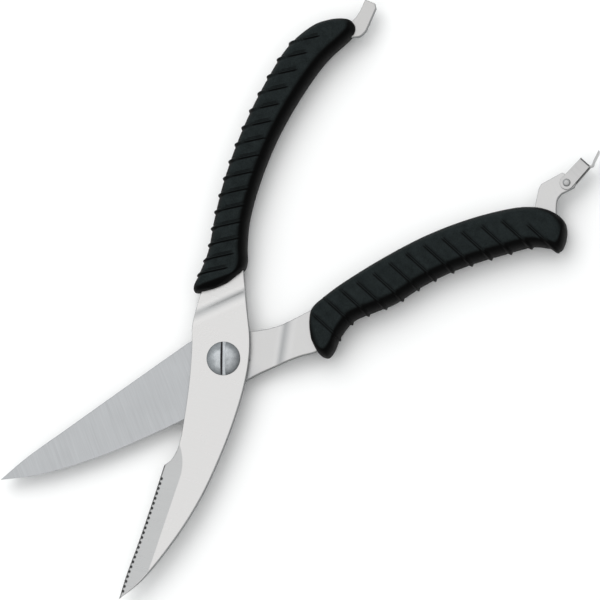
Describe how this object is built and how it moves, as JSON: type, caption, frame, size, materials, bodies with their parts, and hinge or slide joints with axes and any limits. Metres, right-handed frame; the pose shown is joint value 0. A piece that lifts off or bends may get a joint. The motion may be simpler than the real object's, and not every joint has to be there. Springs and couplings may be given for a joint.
{
  "type": "poultry shears",
  "caption": "Sprung poultry shears with a serrated blade with a bone notch, a plain blade, ribbed grips and a swinging handle latch.",
  "frame": {"origin": "on the pivot axis, on the flat back face of the pivot nut", "axes": "+Z along the pivot axis towards the slotted screw head, +Y from the pivot to the handle ends midway between the open halves, +X towards the plain half's grip"},
  "size_m": [0.1346, 0.2556, 0.0154],
  "materials": {
    "blade_steel": "satin stainless steel, fine cross-ground on the flat faces",
    "pivot_steel": "polished, slightly blue-grey",
    "latch_steel": "satin pressed sheet",
    "spring_steel": "bright drawn wire",
    "grip_rubber": "matt, fine-grained moulded rubber"
  },
  "bodies": {
    "serrated_half": {"serrated_blade": "blade_steel", "serrated_grip": "grip_rubber", "pivot_screw": "pivot_steel", "pivot_nut": "pivot_steel", "pivot_spring": "spring_steel"},
    "plain_half": {"plain_blade": "blade_steel", "plain_grip": "grip_rubber", "latch_rivet": "latch_steel"},
    "latch_stirrup": {"latch": "latch_steel"}
  },
  "joints": [
    {"name": "shears_hinge", "type": "hinge", "parent": "serrated_half", "child": "plain_half", "pos_m": [0, 0, 0.005], "axis": [0, 0, 1], "range_deg": [0, 38.1], "stiffness_Nm_per_rad": 0.55, "springref_deg": -8.59, "deforming": ["pivot_spring"]},
    {"name": "latch_hinge", "type": "hinge", "parent": "plain_half", "child": "latch_stirrup", "pos_m": [0.05304, 0.14071, 0.005], "axis": [0, 0, 1], "range_deg": [-120, 70]}
  ]
}
